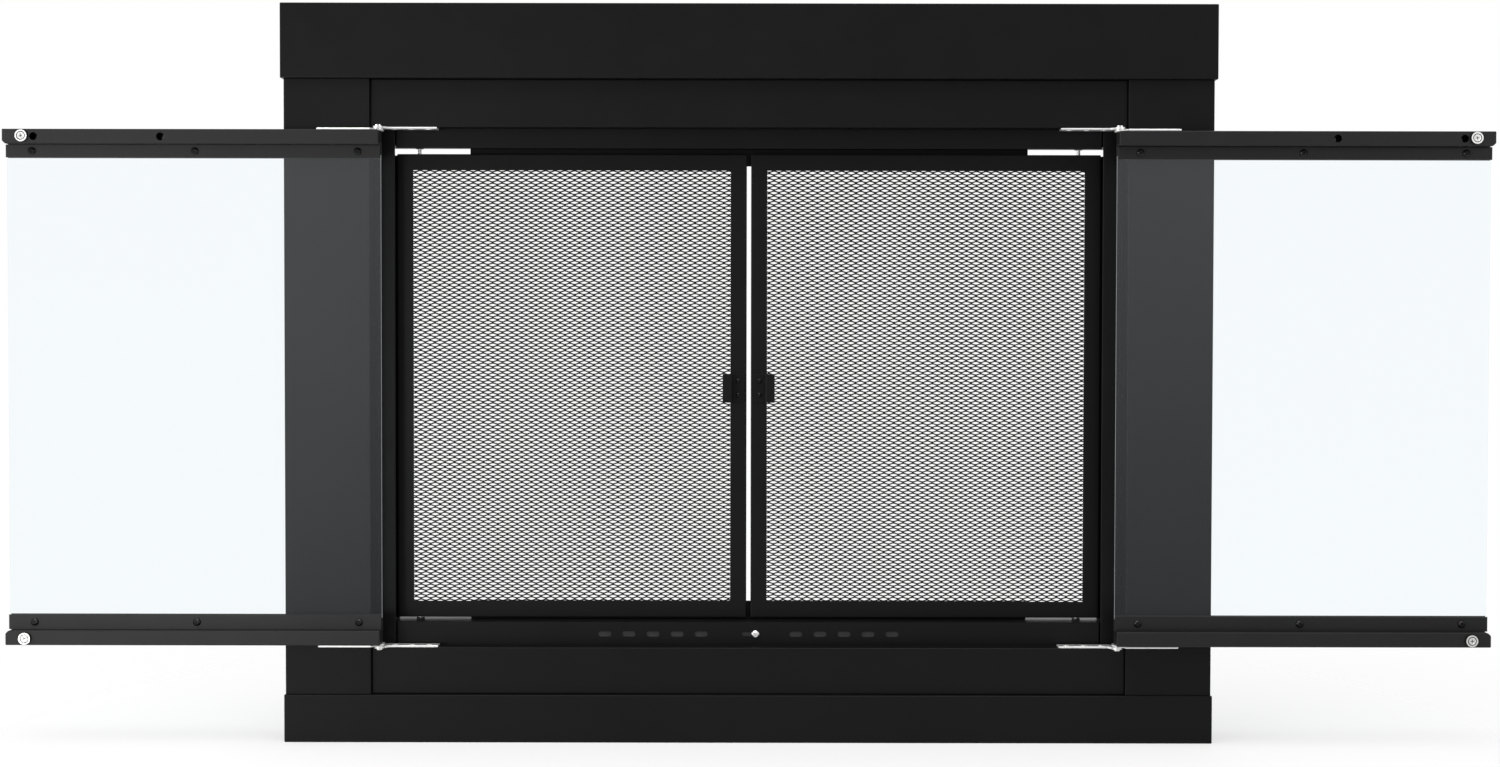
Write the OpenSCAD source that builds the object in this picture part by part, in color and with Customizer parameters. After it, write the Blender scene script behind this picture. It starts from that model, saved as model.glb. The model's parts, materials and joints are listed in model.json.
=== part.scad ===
// Fireplace door set: a folded steel surround, two glass doors, two mesh doors and an air vent.
// Millimetres. X runs to the right, Y runs from the room to the wall, Z runs up.
// The origin is on the hearth, midway across, in the plane of the wall behind the surround.
// Both glass doors stand fully open and both mesh doors are shut.

/* [Surround] */
// Width across the two columns
surround_w = 948; // [780:1:1140]
// Height from the hearth to the top of the hood
surround_h = 754; // [625:1:910]
// Depth from the wall to the front of the columns
surround_d = 60; // [50:1:80]
// Thickness of the folded steel sheet
sheet_t = 1.2; // [1:0.1:1.5]
// Width of each column
column_w = 87.5; // [70:0.5:105]
// Height of the hood across the top
hood_h = 76; // [60:1:95]
// How far the hood stands in front of the columns
hood_proud = 6; // [3:0.5:10]
// How far the hood reaches past each column
hood_overhang = 2.25; // [0:0.25:6]
// Height of the base along the hearth
base_h = 48.8; // [40:0.1:60]
// How far the base stands in front of the columns
base_proud = 3; // [1:0.5:6]
// How far the base reaches past each column
base_overhang = 1; // [0:0.25:6]
// Height of the header panel between the columns
header_h = 48.5; // [40:0.5:60]
// Height of the footer panel between the columns
footer_h = 47.9; // [42:0.1:60]
// How far the header and footer sit behind the front of the columns
panel_setback = 4; // [2:0.5:6]
// Gap between the header or footer and each column
panel_gap = 0.3; // [0.2:0.1:1]
// Depth of the flanges of the header and footer
panel_flange_d = 16; // [14:1:20]
// Distance of the screws in the header and footer from the panels' edges
panel_screw_end = 14; // [10:0.5:18]
// Width of the lips folded in against the wall
wall_lip_w = 12; // [8:1:16]
// Depth of the flange under the hood and on top of the base
deck_d = 46; // [40:1:48]

/* [Opening] */
// Width of the jamb face beside each mesh door
jamb_w = 21.5; // [20:0.1:24]
// Width of the hem along the inner edge of the jamb face
jamb_hem_w = 8.6; // [7:0.1:11]
// Width of the deeper step along the inner edge of the jamb face
jamb_step_w = 18.2; // [16:0.1:19]
// Depth of that step
jamb_step_d = 1.5; // [1:0.1:2.5]
// Width of the lip behind the outer edge of each mesh door
jamb_lip_w = 6.6; // [4:0.1:7.2]
// Gap between a shut glass door and the jamb face behind it
jamb_clear = 2.5; // [1.5:0.1:3.2]
// Width of the seam where jamb and column are screwed together
seam_w = 15.5; // [12:0.5:20]
// Distance of the jamb's end screws from the ends of the opening
jamb_screw_end = 64; // [30:1:100]
// Height of the seam where a channel is screwed to the header or footer
seam_h = 16; // [12:0.5:20]
// Height of the top channel's face below the header
channel_face_h = 19.9; // [16:0.1:25]
// How far the top channel's face hangs below its pivot wall
channel_lip_h = 2.6; // [2:0.1:4]
// Distance of the channels' outer seam screws from the sides of the opening
seam_screw_end = 123; // [60:1:160]
// Gap at each end of the channels' walls
channel_end_gap = 1.5; // [0.5:0.1:2]
// Height of the sill above the footer
sill_h = 23.8; // [22:0.1:32]
// Height of the rear walls of the channels
rear_wall_h = 26; // [20:1:30]
// Height of the stop plates behind the mesh doors
stop_h = 18.5; // [14:0.5:24]
// How far each stop plate stays clear of the end of the opening
stop_end = 82.6; // [60:0.1:110]
// Gap between a shut mesh door and the stop plates behind it
stop_clear = 0.8; // [0.5:0.1:1.5]
// Distance of the stop plates' outer screws from the plates' ends
stop_screw_end = 44; // [20:1:80]

/* [Glass doors] */
// Thickness of a door, from its outer to its inner face
door_t = 18; // [16:0.5:22]
// How far a shut door's outer face lies behind the columns' front
door_setback = 2; // [1:0.5:4]
// Distance of the hinge axis from the column beside it
pivot_inset = 9; // [8:0.5:12]
// How far the rails reach past the hinge axis
rail_tail = 3.8; // [2:0.1:4.5]
// Half of the gap between the shut doors
half_gap = 1.5; // [0.5:0.1:3]
// Height of the box part of each rail
rail_box_h = 15; // [14:0.5:20]
// Height of glass hidden by the top rail and its strip, with the box
top_cover_h = 28; // [27:0.5:36]
// Height of glass hidden by the bottom rail and its strip, with the box
bottom_cover_h = 30; // [27:0.5:38]
// Length of the solid end of each rail
rail_end = 5; // [3:0.5:8]
// Size of the cut corner at the free end of each rail
rail_corner = 3.5; // [2:0.5:4.5]
// Thickness of the glass
glass_t = 4; // [3:0.5:5]
// How far the glass reaches behind the strips
glass_bite = 3.2; // [2:0.1:3.4]
// How much shorter the glass and strips are than the rails at the free end
glass_inset = 0.5; // [0:0.1:2]
// Thickness of the heat tape on both faces of the glass
tape_t = 1; // [0.5:0.1:1.5]
// How far the heat tape stays behind the edge of the strips
tape_inset = 0.4; // [0.2:0.1:1]
// Thickness of the strips that hold the glass
strip_t = 1.5; // [1:0.1:2]
// Distance from the hinge axis to the first strip screw
strip_screw_first = 19; // [14:0.5:30]
// Distance from the rail's free end to the last strip screw
strip_screw_last = 27; // [20:0.5:36]
// Diameter of the standoffs that the strip screws turn into
standoff_d = 5.6; // [5:0.1:6]

/* [Magnets] */
// Diameter of a door magnet
magnet_d = 12; // [10:0.5:14]
// Height of a door magnet
magnet_h = 3; // [2:0.5:4]
// Gap between a shut door's magnet and the channel it holds to
magnet_gap = 0.3; // [0.2:0.05:1]
// Distance of a magnet from the free end of its rail
magnet_from_end = 20.3; // [16:0.1:26]
// Distance of a magnet's centre from the outer edge of its rail
magnet_from_edge = 7; // [6.5:0.1:8]

/* [Handles] */
// Distance between the two screws of a handle
handle_pitch = 128; // [96:1:192]
// Distance of the outer handle screw from the free end of the rail
handle_from_end = 31.8; // [31:0.1:50]
// Diameter of the handle's bar
handle_d = 10; // [8:0.5:12]
// Diameter of the handle's posts
handle_post_d = 8; // [7:0.5:10]
// How far the bar's outer side stands from the door
handle_reach = 32; // [26:1:45]
// How far the bar runs on past each post
handle_end = 10; // [5:1:20]
// Diameter of the holes a screwdriver goes in through
access_d = 8; // [7.6:0.1:9]
// Length of the handle screws
handle_screw_l = 12; // [8:1:16]

/* [Hinges] */
// Thickness of a hinge leaf
leaf_t = 2; // [1.5:0.1:2.5]
// Length of a hinge leaf from the hinge axis
leaf_len = 59; // [50:1:70]
// Width of a hinge leaf
leaf_w = 14; // [12:0.5:15]
// Radius of the rounded end around the hinge axis
leaf_r = 5.5; // [5:0.1:5.5]
// Gap between the two leaves of a hinge
leaf_gap = 1.2; // [1:0.1:2]
// Diameter of the hinge pin
hinge_pin_d = 5; // [4:0.5:6]
// Diameter of the collar that keeps the leaves apart
collar_d = 9.5; // [8:0.5:10]
// Diameter of the hinge pin's head
hinge_head_d = 7.2; // [6.5:0.1:7.2]
// Height of the hinge pin's head
hinge_head_h = 1.5; // [1:0.1:2]
// Distance from the hinge axis to the first leaf screw
leaf_screw_first = 14; // [10:0.5:16]
// Distance between leaf screws
leaf_screw_pitch = 17.8; // [14:0.1:20]
// Play between the hinge pins' collars and the frame's leaves
hinge_play = 0.1; // [0.05:0.05:0.3]
// Radial clearance of a pin that turns in its hole
running_clear = 0.05; // [0.02:0.01:0.09]

/* [Mesh doors] */
// Depth of a mesh door's frame
mesh_door_d = 8; // [7:0.5:10]
// Distance of the mesh doors' back from the wall
mesh_door_back = 10; // [9:0.5:14]
// Half of the gap between the shut mesh doors
mesh_half_gap = 2.2; // [1:0.1:4]
// Gap between a mesh door and its jamb
mesh_side_gap = 7.6; // [7:0.1:12]
// Gap between a mesh door and the pivot wall above it
mesh_top_gap = 6.9; // [5:0.1:12]
// Gap between a mesh door and the sill below it
mesh_bottom_gap = 2.3; // [1.8:0.1:6]
// Width of a mesh door's frame bars
mesh_bar_w = 16.8; // [12:0.1:22]
// Thickness of a mesh door's frame
mesh_sheet_t = 1; // [0.8:0.1:1.5]
// Thickness of the expanded metal
screen_t = 0.6; // [0.5:0.1:1.2]
// How far the expanded metal laps behind the frame bars
screen_lap = 5; // [3:0.5:6]
// Distance of the mesh pivots from the door's outer edge
mesh_pivot_inset = 23; // [15:0.5:30]
// Diameter of a mesh door's pivot pins
mesh_pin_d = 4; // [3:0.5:5]
// Gap between the pivot pins' heads and the frame's front sheet
pin_head_gap = 0.1; // [0.05:0.05:0.3]
// Height of the pivot pins' heads
pin_head_t = 1.4; // [1:0.1:2]
// How far the pivot pins reach past their bushings
pin_past = 1.2; // [0:0.1:2]
// Outer diameter of the pivot bushings
bushing_d = 6.6; // [6:0.1:7.5]
// Length of the pivot bushings' barrels
bushing_l = 4; // [3:0.5:6]
// Diameter of the pivot bushings' flanges
bushing_flange_d = 8.4; // [8:0.1:10]
// Thickness of the pivot bushings' flanges
bushing_flange_t = 1.5; // [1:0.1:1.6]
// Height of the pull tabs
pull_h = 29.5; // [22:0.5:40]
// How far the pull tabs stand in front of the frame bars
pull_reach = 12; // [8:0.5:12.5]
// Width of the part of the pull tabs that is gripped
pull_grip_w = 8.6; // [6:0.1:12]
// Height of the pull tabs' middle above the bottom of the mesh door
pull_rise = 239.5; // [150:0.5:300]
// Thickness of the pull tabs
pull_t = 1.2; // [1:0.1:1.5]
// Distance of the pull tabs' feet from the door's inner edge
pull_foot_in = 1.8; // [1:0.1:2.5]
// Distance of the pull tabs' legs from the edge of the mesh
pull_leg_in = 0.6; // [0.4:0.1:2.5]
// Diameter of the pull tabs' rivets
rivet_d = 3; // [2.5:0.1:3.4]
// Diameter of the rivets' heads
rivet_head_d = 5; // [4.5:0.1:5.5]
// Height of the rivets' heads
rivet_head_t = 0.9; // [0.6:0.1:1.2]

/* [Air vent] */
// Number of vent slots on each side
vent_count = 5; // [3:1:6]
// Distance between vent slots
vent_pitch = 25; // [24:0.5:27]
// Distance of the first vent slot from the middle
vent_first = 49; // [40:0.5:55]
// Length of a vent slot
vent_w = 14.2; // [10:0.1:15]
// Height of a vent slot
vent_h = 5.6; // [4:0.1:6.5]
// Height of the vent slots above the bottom edge of the opening
vent_rise = 11.1; // [10.5:0.1:13]
// Thickness of the vent slider
slider_t = 1; // [0.8:0.1:1.5]
// Height of the vent slider
slider_h = 16; // [14:0.5:17]
// How far the vent slider travels
slider_travel = 12.5; // [11.5:0.5:13]
// Gap in front of and behind the vent slider
slider_gap = 0.3; // [0.2:0.1:0.5]
// Diameter of the rivets that guide the vent slider
guide_d = 5; // [4:0.5:6]
// Diameter of the guide rivets' heads
guide_head_d = 9; // [8:0.5:10]
// Distance of the knob from the middle when the vent is shut
knob_x = 7.4; // [0:0.1:8]
// Diameter of the vent knob
knob_d = 8.5; // [7:0.5:9]
// Height of the vent knob
knob_h = 2.3; // [1.5:0.1:2.4]
// Diameter of the knob's shank
knob_shank_d = 3.4; // [3:0.1:4]
// Height of the nut behind the vent slider
knob_nut_t = 2.2; // [1.5:0.1:3]

/* [Fixing to the fireplace] */
// Thickness of the clamp and bracket steel
strap_t = 2.5; // [2:0.1:3]
// Width of the clamps and brackets
strap_w = 25; // [20:1:32]
// Distance of the lintel clamps from the middle
clamp_x = 200; // [120:1:240]
// How far the lintel clamps and floor brackets reach behind the wall plane
strap_reach = 45; // [40:1:60]
// Gap between the lintel clamps' front ends and the top channel's face
clamp_gap = 4; // [2:0.5:8]
// Distance of the jack screws from the rear ends of the lintel clamps
jack_from_end = 18; // [14:1:20]
// Length of the lintel jack screws
jack_l = 55; // [40:1:80]
// Diameter of the lintel jack screws
jack_d = 8; // [6:1:10]
// How far the lintel jack screws reach below the clamps
jack_below = 16; // [10:1:24]
// Height of the jack screws' hexagon heads
jack_head_h = 5; // [4:0.5:6]
// Diameter of the pads on the jack screws
jack_pad_d = 16; // [12:1:20]
// Thickness of the pads on the jack screws
jack_pad_t = 3; // [2:0.5:5]
// Distance of the floor brackets from the middle
floor_x = 300; // [200:1:310]
// Height of the floor brackets
floor_leg_h = 98; // [96:1:105]
// Diameter of the anchor holes in the floor brackets
anchor_d = 6.6; // [5:0.1:9]
// Distance between the two anchor holes of a floor bracket
anchor_pitch = 22; // [18:1:26]
// Distance of the rear anchor holes from the brackets' ends
anchor_from_end = 8.5; // [6:0.5:9]
// Thickness of the corner brackets
corner_t = 1.5; // [1:0.1:2]
// Length of the corner brackets across a column
corner_w = 56; // [40:1:60]
// Height of the corner brackets
corner_h = 36; // [24:1:45]
// Distance of the corner brackets' screws from the brackets' rear edges
corner_screw_end = 9; // [7:0.5:14]

/* [Fasteners] */
// Diameter of the sheet metal screws
screw_d = 3.5; // [3:0.1:4]
// Diameter of the sheet metal screws' heads
screw_head_d = 7; // [6:0.1:7.4]
// Height of the sheet metal screws' heads
screw_head_h = 2.2; // [1.8:0.1:2.4]
// Length of the sheet metal screws
screw_l = 6.5; // [5:0.5:8]
// Diameter of the strip screws' heads
strip_head_d = 7.6; // [6.5:0.1:8]
// Diameter of the countersunk screws
flush_d = 3; // [2.5:0.1:3.2]
// Diameter of the countersunk screws' heads
flush_head_d = 6; // [5.5:0.1:6.5]
// Length of the countersunk screws
flush_l = 8; // [6:0.5:10]
// How far the countersunk screws' heads stand proud
flush_proud = 0.4; // [0.2:0.1:0.4]
// Depth of the recess in the countersunk screws' heads
flush_recess = 1; // [0.8:0.1:1.2]
// Diameter of the handle screws
handle_screw_d = 4; // [3.5:0.1:4.5]
// Diameter of the mounting bolts
bolt_d = 6; // [5:0.5:7]
// Height of the mounting bolts' heads
bolt_head_h = 4; // [3:0.5:5]
// Radial clearance of a screw in its hole
screw_clear = 0.1; // [0.05:0.01:0.2]

/* [Hidden] */

$fn = 48;
cut = 1; // how far a cutting shape runs past the face it cuts
hole_reach = 10; // how far a clearance hole runs to each side of the face it starts on
hex_ratio = 1.8; // width over corners of a hexagon head, for a shank of 1
LEFT = -1;
RIGHT = 1;

steel_black = "#2b2b2c";
screw_black = "#1c1c1d";
zinc = "#d6d6d4";
nickel = "#e4e4e2";
grey_steel = "#4d4d4c";
glass_tint = [0.86, 0.93, 0.93, 0.3];
tape_black = "#161616";

// levels and planes of the surround
half_w = surround_w / 2;
open_half = half_w - column_w;
z_base = base_h;
z_hood = surround_h - hood_h;
z_open_low = base_h + footer_h;
z_open_high = z_hood - header_h;
y_front = -surround_d;
y_hood = y_front - hood_proud;
y_base = y_front - base_proud;
y_panel = y_front + panel_setback;

// the glass doors shut in front of the jambs and hold to the channels by their magnets
y_jamb = y_front + door_setback + door_t + jamb_clear;
y_channel = y_front + door_setback + door_t + magnet_h + magnet_gap;
y_step = y_jamb + jamb_step_d;
jamb_half = open_half - jamb_w;
jamb_wall = jamb_half + jamb_hem_w;
channel_face_half = jamb_half - channel_end_gap;
channel_half = jamb_wall - channel_end_gap;

// levels of the mesh opening
z_sill = z_open_low + sill_h;
z_channel_lip = z_open_high - channel_face_h;
z_pivot_wall = z_channel_lip + channel_lip_h;

// glass doors
stack_h = 2 * leaf_t + leaf_gap;
z_door_low = z_open_low + stack_h;
z_door_high = z_open_high - stack_h;
pivot_x = open_half - pivot_inset;
rail_x0 = -rail_tail;
rail_x1 = pivot_x - half_gap;
glass_x0 = rail_x0;
glass_x1 = rail_x1 - glass_inset;
rail_in = door_setback + sheet_t;
glass_y = rail_in + tape_t;
strip_y = glass_y + glass_t + tape_t;
door_in = door_setback + door_t;
leaf_y = door_setback + (door_t - leaf_w) / 2;
leaf_mid = leaf_y + leaf_w / 2;
leaf_screws = [for (i = [0:2]) leaf_screw_first + i * leaf_screw_pitch];
strip_screws = [
    strip_screw_first,
    (strip_screw_first + rail_x1 - strip_screw_last) / 2,
    rail_x1 - strip_screw_last
];
magnet_x = rail_x1 - magnet_from_end;
handle_h = rail_box_h / 2;
handle_posts = [rail_x1 - handle_from_end - handle_pitch, rail_x1 - handle_from_end];

// mesh doors
mesh_x0 = mesh_half_gap;
mesh_x1 = jamb_wall - mesh_side_gap;
mesh_z0 = z_sill + mesh_bottom_gap;
mesh_z1 = z_pivot_wall - mesh_top_gap;
mesh_y1 = -mesh_door_back;
mesh_y0 = mesh_y1 - mesh_door_d;
mesh_pivot_x = mesh_x1 - mesh_pivot_inset;
mesh_pivot_y = (mesh_y0 + mesh_y1) / 2;
pin_head_d = mesh_door_d - 2 * (mesh_sheet_t + pin_head_gap);
pull_z = mesh_z0 + pull_rise;
pull_x0 = mesh_x0 + pull_foot_in;
pull_x1 = mesh_x0 + mesh_bar_w - pull_leg_in;
rivet_x = (pull_x0 + pull_x1) / 2;

// air vent
vent_z = z_open_low + vent_rise;
vent_xs = [for (s = [LEFT, RIGHT], i = [0:vent_count - 1]) s * (vent_first + i * vent_pitch)];
slider_y = y_channel + sheet_t + slider_gap;
guide_x = vent_first + (vent_count - 1) * vent_pitch + vent_w / 2 + guide_head_d + slider_travel;
slider_half = guide_x + slider_travel + guide_d;
// the slider's slots are short enough to lie between the sill's slots when it is shut
slider_slot_w = max(vent_h, 2 * (min(slider_travel, vent_pitch - slider_travel) - slider_gap) - vent_w);

// stop plates stand a little behind the mesh doors
stop_y = mesh_y1 + stop_clear;
stop_half = jamb_wall - stop_end;

// screw places shared by the pieces they join
panel_screw_y = y_panel + (sheet_t + panel_flange_d) / 2;
function panel_screws(height) = [panel_screw_end, height - panel_screw_end];
jamb_screw_x = open_half + seam_w / 2;
jamb_screw_zs = [
    z_open_low + jamb_screw_end,
    (z_open_low + z_open_high) / 2,
    z_open_high - jamb_screw_end
];
seam_screw_xs = [for (s = [-1, 0, 1]) s * (jamb_wall - seam_screw_end)];
seam_screw_h = seam_h / 2 + 1;
stop_screw_xs = [for (s = [-1, 0, 1]) s * (stop_half - stop_screw_end)];
stop_screw_y = (stop_y + sheet_t) / 2;
corner_x = half_w - column_w / 2;
corner_screw_dx = corner_w / 3;
corner_depth = deck_d - hood_proud - 2 * sheet_t;
corner_screw_y = y_front + sheet_t + corner_depth - corner_screw_end;

// lintel clamps and floor brackets
z_strap = z_pivot_wall + sheet_t;
clamp_bolt_y = y_channel / 2;
clamp_y0 = y_channel + clamp_gap;
jack_y = strap_reach - jack_from_end;
z_sill_wall = z_sill - 2 * rear_wall_h;
floor_bolt_z = (z_sill_wall + floor_leg_h) / 2;
anchor_mid = strap_reach - anchor_from_end - anchor_pitch / 2;

// ---- small shared shapes

// A box from three [low, high] pairs
module block(x, y, z) {
    translate([x[0], y[0], z[0]])
        cube([x[1] - x[0], y[1] - y[0], z[1] - z[0]]);
}

// The right side as drawn, and the left side as its mirror image
module on_side(side) {
    if (side == LEFT) mirror([1, 0, 0]) children();
    else children();
}

// Draws on both sides
module both_sides() {
    children();
    mirror([1, 0, 0]) children();
}

// Turns Z towards -Y, into the room
module face_room() {
    rotate([90, 0, 0]) children();
}

// Turns Z towards +Y, to the wall
module face_wall() {
    rotate([-90, 0, 0]) children();
}

// A slot with round ends along X, cut through along Y
module slot_y(length, height, y) {
    translate([0, y[0], 0])
        face_wall()
            linear_extrude(y[1] - y[0])
                slot_outline(length, height);
}

module slot_outline(length, height) {
    square([length - height, height], center = true);
    for (s = [-1, 1])
        translate([s * (length - height) / 2, 0])
            circle(d = height);
}

// A cross recess in the top of a screw head
module cross_recess(size, depth) {
    for (turn = [0, 90])
        rotate(turn)
            block([-size / 2, size / 2], [-size / 10, size / 10], [-depth, cut]);
}

// A domed screw: the head stands on Z = 0, the shank runs down
module dome_screw(d, head_d, head_h, length) {
    rim = head_h * 0.45;
    difference() {
        union() {
            translate([0, 0, -length])
                cylinder(d = d, h = length);
            cylinder(d = head_d, h = rim);
            translate([0, 0, rim])
                cylinder(d1 = head_d, d2 = head_d * 0.62, h = head_h - rim);
        }
        translate([0, 0, head_h])
            cross_recess(head_d * 0.5, head_h * 0.5);
    }
}

// A raised countersunk screw: its rim rests on Z = 0, the shank runs down
module flush_screw() {
    sink = (flush_head_d - flush_d) / 2;
    difference() {
        union() {
            cylinder(d = flush_head_d + 4 * screw_clear, h = flush_proud);
            translate([0, 0, -sink])
                cylinder(d1 = flush_d, d2 = flush_head_d, h = sink);
            translate([0, 0, -flush_l])
                cylinder(d = flush_d, h = flush_l);
        }
        translate([0, 0, flush_proud])
            cross_recess(flush_head_d * 0.55, flush_recess);
    }
}

// The hole for one, from Z = 0 down
module flush_hole(depth) {
    sink = (flush_head_d - flush_d) / 2;
    translate([0, 0, -sink])
        cylinder(d1 = flush_d + 2 * screw_clear, d2 = flush_head_d + 2 * screw_clear, h = sink);
    translate([0, 0, -depth - cut])
        cylinder(d = flush_d + 2 * screw_clear, h = depth + cut);
}

// A plain hole through Z = 0
module through_hole(d) {
    translate([0, 0, -hole_reach])
        cylinder(d = d, h = 2 * hole_reach);
}

// A hole that a screw or a rivet goes through with clearance
module screw_hole(d) {
    through_hole(d + 2 * screw_clear);
}

module sheet_screw() {
    dome_screw(screw_d, screw_head_d, screw_head_h, screw_l);
}

// ---- places of the screws that hold the surround together, each with Z out of the head

module at_header_screws() {
    both_sides()
        for (dz = panel_screws(header_h))
            translate([open_half - panel_gap - sheet_t, panel_screw_y, z_open_high + dz])
                rotate([0, -90, 0]) children();
}

module at_footer_screws() {
    both_sides()
        for (dz = panel_screws(footer_h))
            translate([open_half - panel_gap - sheet_t, panel_screw_y, z_open_low - dz])
                rotate([0, -90, 0]) children();
}

module at_hood_bracket_screws() {
    both_sides()
        for (dx = [-corner_screw_dx, corner_screw_dx])
            translate([corner_x + dx, corner_screw_y, z_hood - corner_t])
                rotate([180, 0, 0]) children();
}

module at_base_bracket_screws() {
    both_sides()
        for (dx = [-corner_screw_dx, corner_screw_dx])
            translate([corner_x + dx, corner_screw_y, z_base + corner_t]) children();
}

module at_channel_screws() {
    for (x = seam_screw_xs)
        translate([x, y_channel + sheet_t, z_open_high + seam_screw_h])
            face_wall() children();
}

module at_sill_screws() {
    for (x = seam_screw_xs)
        translate([x, y_channel + sheet_t, z_open_low - seam_screw_h])
            face_wall() children();
}

module at_jamb_screws() {
    for (z = jamb_screw_zs)
        translate([jamb_screw_x, y_jamb + sheet_t, z])
            face_wall() children();
}

module at_top_stop_screws() {
    for (x = stop_screw_xs)
        translate([x, stop_screw_y, z_pivot_wall - sheet_t])
            rotate([180, 0, 0]) children();
}

module at_bottom_stop_screws() {
    for (x = stop_screw_xs)
        translate([x, stop_screw_y, z_sill + sheet_t]) children();
}

// ---- surround

module hood() {
    out = half_w + hood_overhang;
    color(steel_black)
    difference() {
        block([-out, out], [y_hood, 0], [z_hood, surround_h]);
        block([sheet_t - out, out - sheet_t], [y_hood + sheet_t, -sheet_t],
            [z_hood + sheet_t, surround_h - sheet_t]);
        block([wall_lip_w - out, out - wall_lip_w], [-2 * sheet_t, cut],
            [z_hood - cut, surround_h - wall_lip_w]);
        block([sheet_t - out, out - sheet_t], [y_hood + deck_d, -sheet_t],
            [z_hood - cut, z_hood + 2 * sheet_t]);
        at_hood_bracket_screws() screw_hole(screw_d);
    }
}

module base_panel() {
    out = half_w + base_overhang;
    color(steel_black)
    difference() {
        block([-out, out], [y_base, 0], [0, z_base]);
        block([sheet_t - out, out - sheet_t], [y_base + sheet_t, -sheet_t], [sheet_t, z_base - sheet_t]);
        block([wall_lip_w - out, out - wall_lip_w], [-2 * sheet_t, cut], [sheet_t, z_base + cut]);
        block([sheet_t - out, out - sheet_t], [y_base + deck_d, -sheet_t],
            [z_base - 2 * sheet_t, z_base + cut]);
        at_base_bracket_screws() screw_hole(screw_d);
    }
}

module column_outline() {
    // outer side, front, inner side, seam lip and wall lip
    translate([half_w - sheet_t, y_front])
        square([sheet_t, surround_d]);
    translate([open_half, y_front])
        square([column_w, sheet_t]);
    translate([open_half, y_front])
        square([sheet_t, y_jamb - y_front]);
    translate([open_half, y_jamb - sheet_t])
        square([seam_w, sheet_t]);
    translate([half_w - wall_lip_w, -sheet_t])
        square([wall_lip_w, sheet_t]);
}

module column(side) {
    color(steel_black)
    on_side(side)
    difference() {
        translate([0, 0, z_base])
            linear_extrude(z_hood - z_base)
                column_outline();
        at_header_screws() screw_hole(screw_d);
        at_footer_screws() screw_hole(screw_d);
        at_jamb_screws() screw_hole(screw_d);
    }
}

// A tray that stands on the edge of the opening, which is Z = 0: the header, or the footer upside down
module panel_tray(height) {
    out = open_half - panel_gap;
    block([-out, out], [y_panel, y_panel + sheet_t], [0, height]);
    block([-out, out], [y_panel, y_channel], [0, sheet_t]);
    block([-out, out], [y_panel, y_panel + panel_flange_d], [height - sheet_t, height]);
    block([-channel_half, channel_half], [y_channel - sheet_t, y_channel], [0, seam_h]);
    both_sides()
        block([out - sheet_t, out], [y_panel, y_panel + panel_flange_d], [0, height]);
}

module header_panel() {
    color(steel_black)
    difference() {
        translate([0, 0, z_open_high])
            panel_tray(header_h);
        at_header_screws() screw_hole(screw_d);
        at_channel_screws() screw_hole(screw_d);
        at_frame_leaf_screws(true) screw_hole(flush_d);
    }
}

module footer_panel() {
    color(steel_black)
    difference() {
        translate([0, 0, z_open_low])
            mirror([0, 0, 1])
                panel_tray(footer_h);
        at_footer_screws() screw_hole(screw_d);
        at_sill_screws() screw_hole(screw_d);
        at_frame_leaf_screws(false) screw_hole(flush_d);
    }
}

// Face, step, a hem folded back behind the inner edge, and the wall beside the mesh door
module jamb_outline() {
    step_x = jamb_half + jamb_step_w;
    translate([step_x - sheet_t, y_jamb])
        square([open_half + seam_w - step_x + sheet_t, sheet_t]);
    translate([step_x - sheet_t, y_jamb])
        square([sheet_t, jamb_step_d + sheet_t]);
    translate([jamb_half, y_step])
        square([jamb_step_w, sheet_t]);
    translate([jamb_half, y_step])
        square([jamb_hem_w, 2 * sheet_t]);
    translate([jamb_wall, y_step])
        square([sheet_t, -y_step]);
}

module jamb(side) {
    color(steel_black)
    on_side(side)
    difference() {
        union() {
            translate([0, 0, z_open_low])
                linear_extrude(z_open_high - z_open_low)
                    jamb_outline();
            block([jamb_wall - jamb_lip_w, jamb_wall + sheet_t], [-sheet_t, 0], [z_sill, mesh_z1]);
        }
        at_jamb_screws() screw_hole(screw_d);
    }
}

// A channel's level wall, narrower in front so that it clears the hems of the jambs
module channel_wall(z) {
    y_notch = y_step + 2 * sheet_t + channel_end_gap;
    block([-channel_face_half, channel_face_half], [y_channel, 0], [z, z + sheet_t]);
    block([-channel_half, channel_half], [y_notch, 0], [z, z + sheet_t]);
}

module top_channel() {
    color(steel_black)
    difference() {
        union() {
            block([-channel_face_half, channel_face_half], [y_channel, y_channel + sheet_t],
                [z_channel_lip, z_open_high + seam_h]);
            channel_wall(z_pivot_wall);
            block([-channel_half, channel_half], [-sheet_t, 0],
                [z_pivot_wall, z_pivot_wall + rear_wall_h]);
        }
        at_channel_screws() screw_hole(screw_d);
        at_top_stop_screws() screw_hole(screw_d);
        both_sides()
            translate([mesh_pivot_x, mesh_pivot_y, z_pivot_wall])
                screw_hole(bushing_d);
        both_sides()
            translate([clamp_x, clamp_bolt_y, z_pivot_wall])
                screw_hole(bolt_d);
        both_sides()
            block([clamp_x - strap_w / 2 - cut, clamp_x + strap_w / 2 + cut], [-2 * sheet_t, cut],
                [z_pivot_wall + sheet_t, z_pivot_wall + rear_wall_h + cut]);
    }
}

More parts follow.
